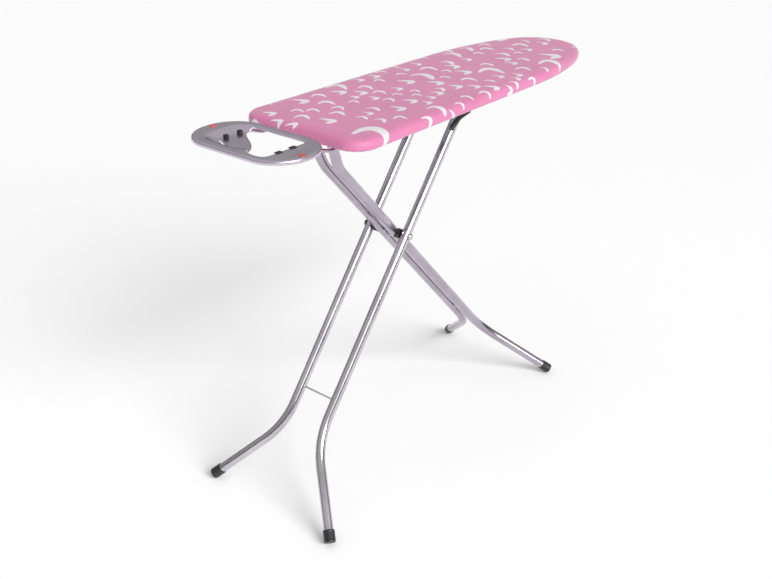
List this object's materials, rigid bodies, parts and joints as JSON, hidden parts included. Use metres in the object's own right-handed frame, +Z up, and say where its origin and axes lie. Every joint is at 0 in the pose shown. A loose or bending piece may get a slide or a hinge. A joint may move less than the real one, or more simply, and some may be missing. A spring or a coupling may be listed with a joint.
{
  "type": "ironing board",
  "caption": "Folding ironing board with a padded printed top, a pressed metal iron rest and scissor tube legs.",
  "frame": {"origin": "on the floor, under the middle of the object's length and width", "axes": "+X from the iron rest to the nose, +Z up, +Y to the left of someone looking at the nose"},
  "size_m": [1.3, 0.4406, 0.97],
  "materials": {
    "printed_cover": "printed cotton, matt",
    "foam": "open foam, matt",
    "sheet_steel": "satin powder coat",
    "tray_steel": "satin metallic lacquer",
    "satin_tube": "satin metallic lacquer",
    "bright_tube": "bright",
    "bright_steel": "bright zinc",
    "black_plastic": "moulded",
    "silicone": "matt",
    "red_plastic": "gloss"
  },
  "bodies": {
    "board": {"cover": "printed_cover", "foam_pad": "foam", "vented_plate": "sheet_steel", "rim_frame": "sheet_steel", "cross_straps": "sheet_steel", "hinge_bracket": "sheet_steel", "hinge_axle": "bright_steel", "axle_clips": "bright_steel", "height_rack": "sheet_steel", "lever_ears": "sheet_steel", "lever_spring": "bright_steel", "iron_tray": "tray_steel", "tray_rods": "satin_tube", "tray_posts": "sheet_steel", "tray_pads": "silicone", "tray_studs": "red_plastic"},
    "release_lever": {"lever_rod": "bright_steel", "lever_grip": "black_plastic", "lever_pawl": "sheet_steel"},
    "inner_leg": {"inner_tube_left": "satin_tube", "inner_tube_right": "satin_tube", "inner_foot_left": "black_plastic", "inner_foot_right": "black_plastic", "inner_head_tube": "satin_tube", "head_bushes": "black_plastic", "inner_spacers": "satin_tube", "pivot_bolts": "bright_steel", "pivot_washers": "bright_steel", "pivot_bushes": "black_plastic", "pivot_nuts": "bright_steel"},
    "outer_leg": {"outer_tube_left": "bright_tube", "outer_tube_right": "bright_tube", "outer_foot_left": "black_plastic", "outer_foot_right": "black_plastic", "outer_crossbar": "bright_steel", "crossbar_clips": "bright_steel", "outer_plugs": "black_plastic", "outer_wire": "bright_steel"}
  },
  "joints": [
    {"name": "fold", "type": "hinge", "parent": "board", "child": "inner_leg", "pos_m": [-0.36978, 0, 0.926], "axis": [0, -1, 0], "range_deg": [0, 47]},
    {"name": "scissor_pivot", "type": "hinge", "parent": "inner_leg", "child": "outer_leg", "pos_m": [-0.1323, 0, 0.6174], "axis": [0, 1, 0], "range_deg": [0, 94]},
    {"name": "release", "type": "hinge", "parent": "board", "child": "release_lever", "pos_m": [0.19, 0, 0.949], "axis": [0, 1, 0], "range_deg": [0, 8], "stiffness_Nm_per_rad": 2, "springref_deg": -6.88}
  ],
  "couplings": [
    {"joint": "scissor_pivot", "follows": "fold", "ratio": 2}
  ]
}
